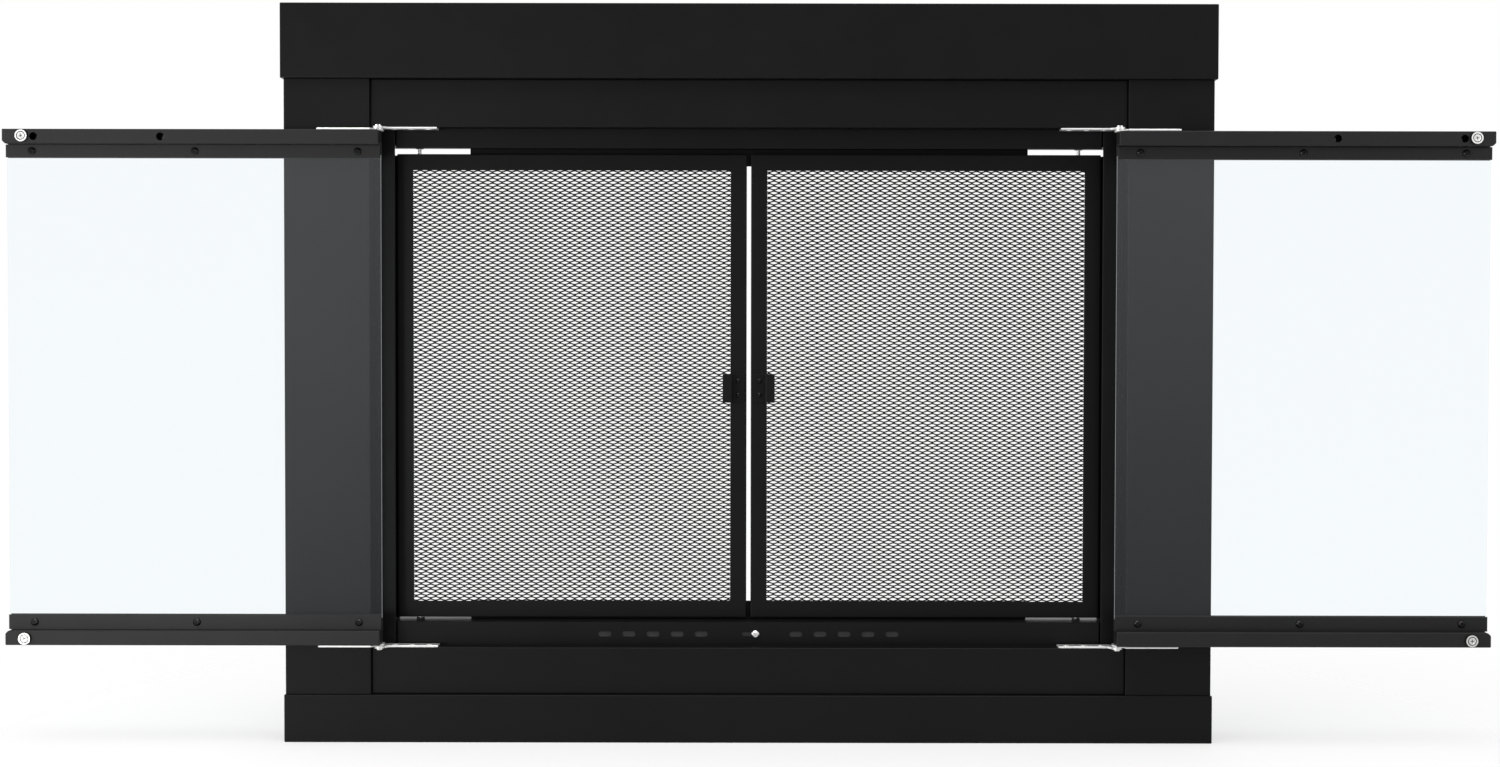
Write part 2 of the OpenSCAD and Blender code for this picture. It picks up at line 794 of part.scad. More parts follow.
module sill_channel() {
    color(steel_black)
    difference() {
        union() {
            block([-channel_face_half, channel_face_half], [y_channel, y_channel + sheet_t],
                [z_open_low - seam_h, z_sill]);
            channel_wall(z_sill - sheet_t);
            block([-channel_half, channel_half], [-sheet_t, 0], [z_sill_wall, z_sill]);
        }
        at_sill_screws() screw_hole(screw_d);
        at_bottom_stop_screws() screw_hole(screw_d);
        both_sides()
            translate([mesh_pivot_x, mesh_pivot_y, z_sill])
                screw_hole(bushing_d);
        both_sides()
            translate([floor_x, 0, floor_bolt_z])
                face_room() screw_hole(bolt_d);
        both_sides()
            translate([guide_x, y_channel, vent_z])
                face_room() through_hole(guide_d);
        vent_slots(vent_w, [y_channel - cut, y_channel + sheet_t + cut]);
        translate([knob_x - slider_travel / 2, 0, vent_z])
            slot_y(slider_travel + knob_shank_d + 2 * slider_gap, knob_shank_d + 2 * slider_gap,
                [y_channel - cut, y_channel + sheet_t + cut]);
    }
}

module vent_slots(length, y) {
    for (x = vent_xs)
        translate([x, 0, vent_z])
            slot_y(length, vent_h, y);
}

module top_stop_plate() {
    color(steel_black)
    difference() {
        union() {
            block([-stop_half, stop_half], [stop_y, stop_y + sheet_t],
                [z_pivot_wall - stop_h, z_pivot_wall]);
            block([-stop_half, stop_half], [stop_y, 0], [z_pivot_wall - sheet_t, z_pivot_wall]);
        }
        at_top_stop_screws() screw_hole(screw_d);
    }
}

module bottom_stop_plate() {
    color(steel_black)
    difference() {
        union() {
            block([-stop_half, stop_half], [stop_y, stop_y + sheet_t], [z_sill, z_sill + stop_h]);
            block([-stop_half, stop_half], [stop_y, 0], [z_sill, z_sill + sheet_t]);
        }
        at_bottom_stop_screws() screw_hole(screw_d);
    }
}

// One angle bracket under the hood, at the right: its upright leg is on the column's front sheet
module hood_bracket() {
    x = [corner_x - corner_w / 2, corner_x + corner_w / 2];
    y = y_front + sheet_t;
    block(x, [y, y + corner_depth], [z_hood - corner_t, z_hood]);
    block(x, [y, y + corner_t], [z_hood - corner_h, z_hood]);
}

module base_bracket() {
    x = [corner_x - corner_w / 2, corner_x + corner_w / 2];
    y = y_front + sheet_t;
    block(x, [y, y + corner_depth], [z_base, z_base + corner_t]);
    block(x, [y, y + corner_t], [z_base, z_base + corner_h]);
}

module corner_brackets() {
    color(zinc)
    difference() {
        both_sides() {
            hood_bracket();
            base_bracket();
        }
        at_hood_bracket_screws() screw_hole(screw_d);
        at_base_bracket_screws() screw_hole(screw_d);
    }
}

module frame_screws() {
    color(screw_black) {
        at_header_screws() sheet_screw();
        at_footer_screws() sheet_screw();
        at_hood_bracket_screws() sheet_screw();
        at_base_bracket_screws() sheet_screw();
        at_channel_screws() sheet_screw();
        at_sill_screws() sheet_screw();
        both_sides()
            at_jamb_screws() sheet_screw();
        at_top_stop_screws() sheet_screw();
        at_bottom_stop_screws() sheet_screw();
    }
}

// ---- fixing to the fireplace

module lintel_clamps() {
    color(zinc)
    both_sides()
    difference() {
        block([clamp_x - strap_w / 2, clamp_x + strap_w / 2], [clamp_y0, strap_reach],
            [z_strap, z_strap + strap_t]);
        translate([clamp_x, clamp_bolt_y, z_strap])
            screw_hole(bolt_d);
        translate([clamp_x, jack_y, z_strap - cut])
            cylinder(d = jack_d, h = strap_t + 2 * cut);
    }
}

module lintel_jack_screws() {
    color(zinc)
    both_sides()
    translate([clamp_x, jack_y, z_strap - jack_below]) {
        cylinder(d = jack_d, h = jack_l);
        cylinder(d = jack_d * hex_ratio, h = jack_head_h, $fn = 6);
        translate([0, 0, jack_l])
            cylinder(d = jack_pad_d, h = jack_pad_t);
    }
}

module floor_brackets() {
    x = [floor_x - strap_w / 2, floor_x + strap_w / 2];
    color(zinc)
    both_sides()
    difference() {
        union() {
            block(x, [-sheet_t - strap_t, -sheet_t], [sheet_t, floor_leg_h]);
            block(x, [-sheet_t - strap_t, strap_reach], [sheet_t, sheet_t + strap_t]);
        }
        translate([floor_x, 0, floor_bolt_z])
            face_room() screw_hole(bolt_d);
        for (s = [-1, 1])
            translate([floor_x, anchor_mid + s * anchor_pitch / 2, sheet_t])
                through_hole(anchor_d);
    }
}

// A hexagon bolt: the head stands on Z = 0, the shank runs down
module hex_bolt(length) {
    cylinder(d = bolt_d * hex_ratio, h = bolt_head_h, $fn = 6);
    translate([0, 0, -length])
        cylinder(d = bolt_d, h = length);
}

module mounting_bolts() {
    color(zinc)
    both_sides() {
        translate([clamp_x, clamp_bolt_y, z_strap + strap_t])
            hex_bolt(strap_t + sheet_t);
        translate([floor_x, -sheet_t - strap_t, floor_bolt_z])
            face_room() hex_bolt(strap_t + sheet_t);
    }
}

// ---- hinges: each leaf lies on a rail or on the edge of the opening

// One leaf from above, with the hinge axis at the origin
module leaf_outline() {
    circle(r = leaf_r);
    polygon([
        [-leaf_r, 0], [0, -leaf_r], [leaf_screw_first - leaf_r, leaf_y], [leaf_len, leaf_y],
        [leaf_len, leaf_y + leaf_w], [leaf_r, leaf_y + leaf_w], [-leaf_r, leaf_r]
    ]);
}

// Places on the edge of the opening behind the hinge axis, with Z into the opening
module at_frame_leaf(upper) {
    z = upper ? z_open_high : z_open_low;
    both_sides()
        translate([pivot_x, y_front, z])
            rotate([upper ? 180 : 0, 0, 0])
                mirror([1, 0, 0])
                    mirror([0, upper ? 1 : 0, 0])
                        children();
}

module at_frame_leaf_screws(upper) {
    at_frame_leaf(upper)
        for (x = leaf_screws)
            translate([x, leaf_mid, leaf_t]) children();
}

module frame_leaf() {
    difference() {
        linear_extrude(leaf_t)
            leaf_outline();
        translate([0, 0, -cut])
            cylinder(d = hinge_pin_d + 2 * running_clear, h = leaf_t + 2 * cut);
        for (x = leaf_screws)
            translate([x, leaf_mid, leaf_t])
                flush_hole(leaf_t);
    }
}

module frame_hinge_leaves() {
    color(zinc) {
        at_frame_leaf(true) frame_leaf();
        at_frame_leaf(false) frame_leaf();
    }
}

module frame_hinge_screws() {
    color(zinc) {
        at_frame_leaf_screws(true) flush_screw();
        at_frame_leaf_screws(false) flush_screw();
    }
}

// ---- glass doors, drawn open at the right.
// Inside at_rail, X runs along the rail from the hinge axis, Y runs from the outer
// to the inner face, and Z runs from the rail's outer edge towards the glass.

module at_top_rail() {
    translate([pivot_x, y_front, z_door_high])
        rotate([180, 0, 0]) children();
}

module at_bottom_rail() {
    translate([pivot_x, y_front, z_door_low])
        mirror([0, 1, 0]) children();
}

module at_rails(side) {
    on_side(side) {
        at_top_rail() children();
        at_bottom_rail() children();
    }
}

function strip_mid(cover_h) = (rail_box_h + cover_h) / 2;

module at_strip_screws(cover_h) {
    for (x = strip_screws)
        translate([x, strip_y + strip_t, strip_mid(cover_h)])
            face_wall() children();
}

module at_magnet() {
    translate([magnet_x, door_in, magnet_from_edge])
        face_wall() children();
}

module at_leaf_screws() {
    for (x = leaf_screws)
        translate([x, leaf_mid, -leaf_t])
            rotate([180, 0, 0]) children();
}

// A folded box with a flange that runs down over the outside of the glass
module rail_body(cover_h) {
    x = [rail_x0, rail_x1];
    difference() {
        block(x, [door_setback, door_in], [0, rail_box_h]);
        block([rail_x0 + rail_end, rail_x1 - rail_end], [rail_in, door_in - sheet_t],
            [sheet_t, rail_box_h - sheet_t]);
        rail_corner_cut();
        at_magnet() screw_hole(flush_d);
        at_leaf_screws() screw_hole(flush_d);
    }
    difference() {
        union() {
            block(x, [door_setback, rail_in], [0, cover_h]);
            for (sx = strip_screws)
                translate([sx, rail_in, strip_mid(cover_h)])
                    face_wall() cylinder(d = standoff_d, h = strip_y - rail_in);
        }
        at_strip_screws(cover_h)
            translate([0, 0, rail_in - strip_y - strip_t])
                cylinder(d = screw_d + 2 * screw_clear, h = strip_y);
    }
}

// The cut corner at the free end, on the side towards the glass
module rail_corner_cut() {
    translate([rail_x1, rail_in, rail_box_h])
        face_wall()
            rotate(45)
                linear_extrude(door_t)
                    square(rail_corner * sqrt(2), center = true);
}

module top_rail(side) {
    color(steel_black)
    on_side(side)
    at_top_rail()
    difference() {
        rail_body(top_cover_h);
        for (x = handle_posts) {
            translate([x, door_in - 2 * sheet_t, handle_h])
                face_wall() cylinder(d = access_d, h = 3 * sheet_t);
            translate([x, door_setback, handle_h])
                face_wall() translate([0, 0, -cut])
                    cylinder(d = handle_screw_d + 2 * screw_clear, h = sheet_t + 2 * cut);
        }
    }
}

module bottom_rail(side) {
    color(steel_black)
    on_side(side)
    at_bottom_rail()
        rail_body(bottom_cover_h);
}

module glass(side) {
    color(glass_tint)
    on_side(side)
    translate([pivot_x, y_front, 0])
        mirror([0, 1, 0])
            block([glass_x0, glass_x1], [glass_y, glass_y + glass_t],
                [z_door_low + bottom_cover_h - glass_bite, z_door_high - top_cover_h + glass_bite]);
}

// Two tapes along one edge of the glass, behind the strip
module edge_tapes(cover_h) {
    x = [glass_x0, glass_x1];
    z = [cover_h - glass_bite, cover_h - tape_inset];
    block(x, [rail_in, glass_y], z);
    block(x, [glass_y + glass_t, strip_y], z);
}

module glass_tapes(side) {
    color(tape_black)
    on_side(side) {
        at_top_rail() edge_tapes(top_cover_h);
        at_bottom_rail() edge_tapes(bottom_cover_h);
    }
}

module glass_strip(cover_h) {
    difference() {
        block([glass_x0, glass_x1], [strip_y, strip_y + strip_t], [rail_box_h, cover_h]);
        at_strip_screws(cover_h) screw_hole(screw_d);
    }
}

module glass_strips(side) {
    color(steel_black)
    on_side(side) {
        at_top_rail() glass_strip(top_cover_h);
        at_bottom_rail() glass_strip(bottom_cover_h);
    }
}

module strip_screws(side) {
    color(screw_black)
    on_side(side) {
        at_top_rail() at_strip_screws(top_cover_h) strip_screw();
        at_bottom_rail() at_strip_screws(bottom_cover_h) strip_screw();
    }
}

module strip_screw() {
    dome_screw(screw_d, strip_head_d, screw_head_h, screw_l);
}

module magnets(side) {
    groove_in = magnet_d * 0.6;
    groove_out = magnet_d * 0.74;
    color(nickel)
    at_rails(side) at_magnet()
    difference() {
        cylinder(d = magnet_d, h = magnet_h);
        translate([0, 0, magnet_h])
            flush_hole(magnet_h);
        translate([0, 0, magnet_h / 2])
            difference() {
                cylinder(d = groove_out, h = magnet_h);
                translate([0, 0, -cut])
                    cylinder(d = groove_in, h = magnet_h + 2 * cut);
            }
    }
}

// The magnet screws are sunk flush, so that they never touch the channels
module magnet_screws(side) {
    sink = (flush_head_d - flush_d) / 2;
    color(zinc)
    at_rails(side) at_magnet()
    translate([0, 0, magnet_h - screw_clear])
    difference() {
        union() {
            translate([0, 0, -sink])
                cylinder(d1 = flush_d, d2 = flush_head_d, h = sink);
            translate([0, 0, -flush_l])
                cylinder(d = flush_d, h = flush_l);
        }
        cross_recess(flush_head_d * 0.55, flush_recess);
    }
}

module handle(side) {
    bar_y = door_setback - handle_reach + handle_d / 2;
    color(screw_black)
    on_side(side)
    at_top_rail()
    difference() {
        union() {
            translate([handle_posts[0] - handle_end, bar_y, handle_h])
                rotate([0, 90, 0])
                    cylinder(d = handle_d, h = handle_pitch + 2 * handle_end);
            for (x = handle_posts)
                translate([x, door_setback, handle_h])
                    face_room() cylinder(d = handle_post_d, h = door_setback - bar_y);
        }
        for (x = handle_posts)
            translate([x, door_setback, handle_h])
                face_room() translate([0, 0, -cut])
                    cylinder(d = handle_screw_d + 2 * screw_clear, h = handle_screw_l + 2 * cut);
    }
}

module handle_screws(side) {
    color(zinc)
    on_side(side)
    at_top_rail()
        for (x = handle_posts)
            translate([x, rail_in, handle_h])
                face_wall()
                    dome_screw(handle_screw_d, screw_head_d, screw_head_h, handle_screw_l);
}

module hinge_leaves(side) {
    color(zinc)
    at_rails(side)
    difference() {
        translate([0, 0, -leaf_t])
            linear_extrude(leaf_t)
                leaf_outline();
        translate([0, 0, -leaf_t - cut])
            cylinder(d = hinge_pin_d, h = leaf_t + 2 * cut);
        at_leaf_screws() flush_hole(leaf_t);
    }
}

// Each pin is riveted into the door's leaf and turns in the frame's leaf
module hinge_pins(side) {
    color(nickel)
    at_rails(side)
    rotate([180, 0, 0]) {
        cylinder(d = hinge_pin_d, h = stack_h + hinge_play);
        translate([0, 0, leaf_t])
            cylinder(d = collar_d, h = leaf_gap - hinge_play);
        translate([0, 0, stack_h + hinge_play])
            cylinder(d = hinge_head_d, h = hinge_head_h);
    }
}

module hinge_screws(side) {
    color(zinc)
    at_rails(side) at_leaf_screws() flush_screw();
}

// ---- mesh doors, drawn shut at the right

module mesh_frame(side) {
    x = [mesh_x0, mesh_x1];
    y = [mesh_y0, mesh_y1];
    z = [mesh_z0, mesh_z1];
    t = mesh_sheet_t;
    color(steel_black)
    on_side(side)
    difference() {
        block(x, y, z);
        block([x[0] + t, x[1] - t], [y[0] + t, y[1] + cut], [z[0] + t, z[1] - t]);
        block([x[0] + mesh_bar_w, x[1] - mesh_bar_w], [y[0] - cut, y[1]],
            [z[0] + mesh_bar_w, z[1] - mesh_bar_w]);
        translate([mesh_pivot_x, mesh_pivot_y, z[0]])
            through_hole(mesh_pin_d);
        translate([mesh_pivot_x, mesh_pivot_y, z[1]])
            through_hole(mesh_pin_d);
        at_rivets() screw_hole(rivet_d);
    }
}

module at_rivets() {
    for (s = [-1, 1])
        translate([rivet_x, mesh_y0 - pull_t, pull_z + s * pull_h / 4])
            face_room() children();
}

module mesh_screen(side) {
    lap = mesh_bar_w - screen_lap;
    color(steel_black)
    on_side(side)
        block([mesh_x0 + lap, mesh_x1 - lap],
            [mesh_y0 + mesh_sheet_t, mesh_y0 + mesh_sheet_t + screen_t],
            [mesh_z0 + lap, mesh_z1 - lap]);
}

// A tab with its foot on the frame bar, a leg into the room and a grip turned outwards
module mesh_pull(side) {
    z = [pull_z - pull_h / 2, pull_z + pull_h / 2];
    y = mesh_y0 - pull_reach;
    color(steel_black)
    on_side(side)
    difference() {
        union() {
            block([pull_x0, pull_x1], [mesh_y0 - pull_t, mesh_y0], z);
            block([pull_x1 - pull_t, pull_x1], [y, mesh_y0], z);
            block([pull_x1 - pull_t, pull_x1 + pull_grip_w], [y, y + pull_t], z);
        }
        at_rivets() screw_hole(rivet_d);
    }
}

module mesh_rivets(side) {
    rivet_l = pull_t + mesh_sheet_t;
    color(screw_black)
    on_side(side)
    at_rivets() {
        cylinder(d1 = rivet_head_d, d2 = rivet_head_d * 0.6, h = rivet_head_t);
        translate([0, 0, -rivet_l])
            cylinder(d = rivet_d, h = rivet_l);
        translate([0, 0, -rivet_l - rivet_head_t])
            cylinder(d = rivet_head_d, h = rivet_head_t);
    }
}

// The right door's two pins: a head inside the frame and a shank out through it
module mesh_pin(z, up) {
    reach = (up ? mesh_top_gap : mesh_bottom_gap) + bushing_l + pin_past;
    translate([mesh_pivot_x, mesh_pivot_y, z])
        mirror([0, 0, up ? 0 : 1]) {
            translate([0, 0, -mesh_sheet_t - pin_head_t])
                cylinder(d = pin_head_d, h = pin_head_t);
            translate([0, 0, -mesh_sheet_t])
                cylinder(d = mesh_pin_d, h = mesh_sheet_t + reach);
        }
}

module mesh_pins(side) {
    color(zinc)
    on_side(side) {
        mesh_pin(mesh_z1, true);
        mesh_pin(mesh_z0, false);
    }
}

// Flanged bushing on Z = 0: the flange stands up, the barrel runs down
module bushing() {
    difference() {
        union() {
            cylinder(d = bushing_flange_d, h = bushing_flange_t);
            translate([0, 0, -bushing_l])
                cylinder(d = bushing_d, h = bushing_l);
        }
        translate([0, 0, -bushing_l - cut])
            cylinder(d = mesh_pin_d + 2 * running_clear, h = bushing_l + bushing_flange_t + 2 * cut);
    }
}

module mesh_pivot_bushings() {
    color(tape_black)
    both_sides() {
        translate([mesh_pivot_x, mesh_pivot_y, z_sill])
            bushing();
        translate([mesh_pivot_x, mesh_pivot_y, z_pivot_wall])
            rotate([180, 0, 0]) bushing();
    }
}

// ---- air vent

module vent_guides() {
    color(steel_black)
    both_sides()
    translate([guide_x, y_channel, vent_z])
        face_wall() {
            cylinder(d = guide_d, h = sheet_t + slider_t + 2 * slider_gap);
            translate([0, 0, sheet_t + slider_t + 2 * slider_gap])
                cylinder(d = guide_head_d, h = sheet_t);
        }
}

module vent_slider() {
    y = [slider_y - cut, slider_y + slider_t + cut];
    guide_slot = slider_travel + guide_d + 2 * slider_gap;
    color(grey_steel)
    difference() {
        block([-slider_half, slider_half], [slider_y, slider_y + slider_t],
            [vent_z - slider_h / 2, vent_z + slider_h / 2]);
        translate([slider_travel, 0, 0])
            vent_slots(slider_slot_w, y);
        for (s = [-1, 1])
            translate([s * guide_x + slider_travel / 2, 0, vent_z])
                slot_y(guide_slot, guide_d + 2 * slider_gap, y);
        translate([knob_x, 0, vent_z])
            face_wall() translate([0, 0, slider_y - cut])
                cylinder(d = knob_shank_d, h = slider_t + 2 * cut);
    }
}

module vent_knob() {
    shank_l = slider_gap + sheet_t + slider_gap + slider_t + knob_nut_t;
    color(nickel)
    translate([knob_x, y_channel - slider_gap, vent_z])
        face_room() {
            dome_screw(knob_shank_d, knob_d, knob_h, shank_l);
            translate([0, 0, -shank_l])
                cylinder(d = knob_shank_d * hex_ratio, h = knob_nut_t, $fn = 6);
        }
}

// ---- the whole set

hood();
column(LEFT);  // left_column
column(RIGHT);  // right_column
header_panel();
base_panel();
footer_panel();
jamb(LEFT);  // left_jamb
jamb(RIGHT);  // right_jamb
top_channel();
sill_channel();
top_stop_plate();
bottom_stop_plate();
corner_brackets();
frame_screws();
lintel_clamps();
lintel_jack_screws();
floor_brackets();
mounting_bolts();
frame_hinge_leaves();
frame_hinge_screws();
mesh_pivot_bushings();
vent_guides();
vent_slider();
vent_knob();

glass(LEFT);  // left_glass
top_rail(LEFT);  // left_top_rail
bottom_rail(LEFT);  // left_bottom_rail
glass_strips(LEFT);  // left_glass_strips
strip_screws(LEFT);  // left_strip_screws
glass_tapes(LEFT);  // left_glass_tapes
magnets(LEFT);  // left_magnets
magnet_screws(LEFT);  // left_magnet_screws
handle(LEFT);  // left_handle
handle_screws(LEFT);  // left_handle_screws
hinge_leaves(LEFT);  // left_hinge_leaves
hinge_pins(LEFT);  // left_hinge_pins
hinge_screws(LEFT);  // left_hinge_screws

glass(RIGHT);  // right_glass
top_rail(RIGHT);  // right_top_rail
bottom_rail(RIGHT);  // right_bottom_rail
glass_strips(RIGHT);  // right_glass_strips
strip_screws(RIGHT);  // right_strip_screws
glass_tapes(RIGHT);  // right_glass_tapes
magnets(RIGHT);  // right_magnets
magnet_screws(RIGHT);  // right_magnet_screws
handle(RIGHT);  // right_handle
handle_screws(RIGHT);  // right_handle_screws
hinge_leaves(RIGHT);  // right_hinge_leaves
hinge_pins(RIGHT);  // right_hinge_pins
hinge_screws(RIGHT);  // right_hinge_screws

mesh_frame(LEFT);  // left_mesh_frame
mesh_screen(LEFT);  // left_mesh_screen
mesh_pull(LEFT);  // left_mesh_pull
mesh_rivets(LEFT);  // left_mesh_rivets
mesh_pins(LEFT);  // left_mesh_pins
mesh_frame(RIGHT);  // right_mesh_frame
mesh_screen(RIGHT);  // right_mesh_screen
mesh_pull(RIGHT);  // right_mesh_pull
mesh_rivets(RIGHT);  // right_mesh_rivets
mesh_pins(RIGHT);  // right_mesh_pins
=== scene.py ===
"""The looks of a fireplace door set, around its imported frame.

Metres. X points right across the opening, Y from the room to the wall, and Z up.
"""

import json
import math

import bmesh
import bpy
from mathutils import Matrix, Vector


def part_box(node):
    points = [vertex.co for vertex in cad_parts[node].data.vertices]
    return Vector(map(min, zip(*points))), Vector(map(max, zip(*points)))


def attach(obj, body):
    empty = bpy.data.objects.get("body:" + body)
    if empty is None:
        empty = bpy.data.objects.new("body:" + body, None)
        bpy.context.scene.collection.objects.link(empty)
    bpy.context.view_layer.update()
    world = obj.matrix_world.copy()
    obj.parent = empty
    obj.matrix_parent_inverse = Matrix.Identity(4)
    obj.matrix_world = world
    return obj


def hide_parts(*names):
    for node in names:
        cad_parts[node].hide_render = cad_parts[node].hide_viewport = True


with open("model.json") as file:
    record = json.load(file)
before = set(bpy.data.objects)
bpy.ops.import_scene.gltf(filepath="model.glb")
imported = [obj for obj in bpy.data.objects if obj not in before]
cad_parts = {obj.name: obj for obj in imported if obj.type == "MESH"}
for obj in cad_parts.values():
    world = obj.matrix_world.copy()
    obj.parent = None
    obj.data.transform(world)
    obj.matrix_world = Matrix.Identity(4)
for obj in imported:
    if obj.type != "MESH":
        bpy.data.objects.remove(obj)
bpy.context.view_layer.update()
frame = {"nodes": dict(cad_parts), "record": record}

MM = 0.001

# The photograph's width in pixels, and the camera that it was taken with
IMAGE_W = 1500
FOCAL_PX = 1959.4
SENSOR_MM = 36
CAMERA_AT = (0.0013, -2.060, 0.4157)
CAMERA_PITCH = math.radians(-1.36)
CAMERA_ROLL = math.radians(-0.1)

# The white studio: how strongly it lights rough surfaces, and how white its front is, straight ahead
# of the object at Y = -1. The white is full again where the direction's Y reaches FRONT_ENDS.
SOFT_LIGHT = 0.50
FRONT_WHITE = 0.50
FRONT_MIDDLE = -1.0
FRONT_ENDS = 0.2

# The floor: half its width, how white its board is, and the share of pure white in it beside the
# object, which grows to all of it between these distances from the object's middle
FLOOR_HALF = 12.0
BOARD_WHITE = 0.93
FLOOR_WHITE = 0.60
FADE_FROM = 0.45
FADE_TO = 1.3

# The middle of the object, at which the fill and back lamps aim
MIDDLE = (0, -0.05, 0.38)

# The share of the view that the painted reflection on one face of the glass veils, seen straight on, at
# the foot and the head of the pane, painted thinner at the foot where the pane reflects less light, and
# the strength of its painted glow
PAINTED_VEIL_LOW = 0.0140
PAINTED_VEIL_HIGH = 0.0315
PAINTED_GLOW = 0.8
# The painted reflection starts to veil more where the view is this slanted, from 0, straight on, to 1,
# along it, as a pane reflects more at a slant, and the veil then thickens with this power of the slant
SLANT_FROM = 0.3
SLANT_POWER = 3

# How far below its face a plated magnet or screw turns to black: painted shade in its grooves and
# recesses
FACE_DEPTH = 0.25 * MM

# A fold in sheet steel is rounded by up to this much, in this many steps, and a narrow edge by this
# share of its width
FOLD_ROUND = 1.1 * MM
FOLD_STEPS = 3
EDGE_SHARE = 0.35
# Edges this long that bend this far are rounded. Shorter ones, such as the facets round a hole, stay.
SHORTEST_EDGE = 5 * MM
SHARP_ANGLE = math.radians(35)
# Edges whose ends agree to this many decimals are the two sides of one edge
PLACE_DECIMALS = 6
# Before the rounding, points this close are welded, and faces that bend less than this are joined
WELD_GAP = 0.005 * MM
FLAT_ANGLE = math.radians(0.5)


# ---- nodes of a material or the world


def feed(tree, socket, value):
    """Sets the socket to a plain value, or links it to another socket."""
    if isinstance(value, bpy.types.NodeSocket):
        tree.links.new(value, socket)
    else:
        socket.default_value = value


def maths(tree, operation, *values):
    """The result of a Math node; the values are numbers or sockets."""
    node = tree.nodes.new("ShaderNodeMath")
    node.operation = operation
    for socket, value in zip(node.inputs, values):
        feed(tree, socket, value)
    return node.outputs[0]


def spread_out(tree, source, low, high, from_low=0.0, from_high=1.0, shape="LINEAR"):
    """The source from from_low to from_high, spread over low to high, which are numbers or sockets."""
    node = tree.nodes.new("ShaderNodeMapRange")
    node.interpolation_type = shape
    feed(tree, node.inputs["From Min"], from_low)
    feed(tree, node.inputs["From Max"], from_high)
    feed(tree, node.inputs["To Min"], low)
    feed(tree, node.inputs["To Max"], high)
    feed(tree, node.inputs["Value"], source)
    return node.outputs["Result"]


def rays(tree, *kinds):
    """1 on the rays of these kinds, and 0 on all others."""
    path = tree.nodes.new("ShaderNodeLightPath")
    found = path.outputs[f"Is {kinds[0]} Ray"]
    for kind in kinds[1:]:
        found = maths(tree, "MAXIMUM", found, path.outputs[f"Is {kind} Ray"])
    return found


class Finish:
    """A material with one Principled shader, and short calls that add the nodes around it. The shader's
    constants are given by the names of its sockets, with _ for a space."""

    def __init__(self, name, **values):
        self.material = bpy.data.materials.new(name)
        self.material.use_nodes = True
        self.tree = self.material.node_tree
        self.bsdf = self.tree.nodes["Principled BSDF"]
        for key, value in values.items():
            self.bsdf.inputs[key.replace("_", " ")].default_value = value
        self.place = self.add("ShaderNodeTexCoord").outputs["Object"]

    def add(self, kind, **settings):
        node = self.tree.nodes.new(kind)
        for key, value in settings.items():
            setattr(node, key, value)
        return node

    def join(self, source, socket):
        self.tree.links.new(source, socket)

    def along(self, axis):
        """Where a point lies along this axis, in metres."""
        parts = self.add("ShaderNodeSeparateXYZ")
        self.join(self.place, parts.inputs[0])
        return parts.outputs[axis]

    def noise(self, per_metre, detail=2.0, stretch=(1, 1, 1)):
        """Noise with this many grains to a metre, stretched along an axis where its factor is under 1."""
        scaled = self.add("ShaderNodeMapping")
        scaled.inputs["Scale"].default_value = stretch
        self.join(self.place, scaled.inputs["Vector"])
        noise = self.add("ShaderNodeTexNoise")
        noise.inputs["Scale"].default_value = per_metre
        noise.inputs["Detail"].default_value = detail
        self.join(scaled.outputs["Vector"], noise.inputs["Vector"])
        return noise.outputs["Fac"]

    def spread(self, source, low, high, from_low=0.3, from_high=0.7):
        """The source's middle range spread over low to high."""
        return spread_out(self.tree, source, low, high, from_low, from_high)

    def total(self, a, b, share):
        """a plus b times share."""
        return maths(self.tree, "MULTIPLY_ADD", b, share, a)

    def colours(self, source, first, second):
        """The base colour runs from first to second with the source."""
        node = self.add("ShaderNodeMix", data_type="RGBA")
        node.inputs["A"].default_value = (*first, 1)
        node.inputs["B"].default_value = (*second, 1)
        self.join(source, node.inputs["Factor"])
        self.join(node.outputs["Result"], self.bsdf.inputs["Base Color"])

    def roughness(self, source):
        self.join(source, self.bsdf.inputs["Roughness"])

    def bump(self, source, height):
        """Raises the surface by the source, over height in metres."""
        node = self.add("ShaderNodeBump")
        node.inputs["Distance"].default_value = height
        self.join(source, node.inputs["Height"])
        self.join(node.outputs["Normal"], self.bsdf.inputs["Normal"])

    def cover(self, share, tint=(1, 1, 1)):
        """The finish covers this share of the surface. The rest is clear, and tints what is behind it."""
        clear = self.add("ShaderNodeBsdfTransparent")
        clear.inputs["Color"].default_value = (*tint, 1)
        blend = self.add("ShaderNodeMixShader")
        self.join(share, blend.inputs["Fac"])
        self.join(clear.outputs["BSDF"], blend.inputs[1])
        self.join(self.bsdf.outputs["BSDF"], blend.inputs[2])
        self.join(blend.outputs["Shader"], self.tree.nodes["Material Output"].inputs["Surface"])


# ---- camera, stage and light


def add_camera():
    data = bpy.data.cameras.new("camera")
    data.sensor_width = SENSOR_MM
    data.lens = FOCAL_PX / IMAGE_W * SENSOR_MM
    camera = bpy.data.objects.new("camera", data)
    bpy.context.scene.collection.objects.link(camera)
    camera.location = CAMERA_AT
    camera.rotation_euler = (math.pi / 2 + CAMERA_PITCH, CAMERA_ROLL, 0)
    bpy.context.scene.camera = camera


def add_lamp(name, at, target, size, watts):
    data = bpy.data.lights.new(name, "AREA")
    data.shape = "RECTANGLE"
    data.size, data.size_y = size
    data.energy = watts
    lamp = bpy.data.objects.new(name, data)
    bpy.context.scene.collection.objects.link(lamp)
    lamp.location = at
    lamp.rotation_euler = (Vector(target) - Vector(at)).to_track_quat("-Z", "Y").to_euler()


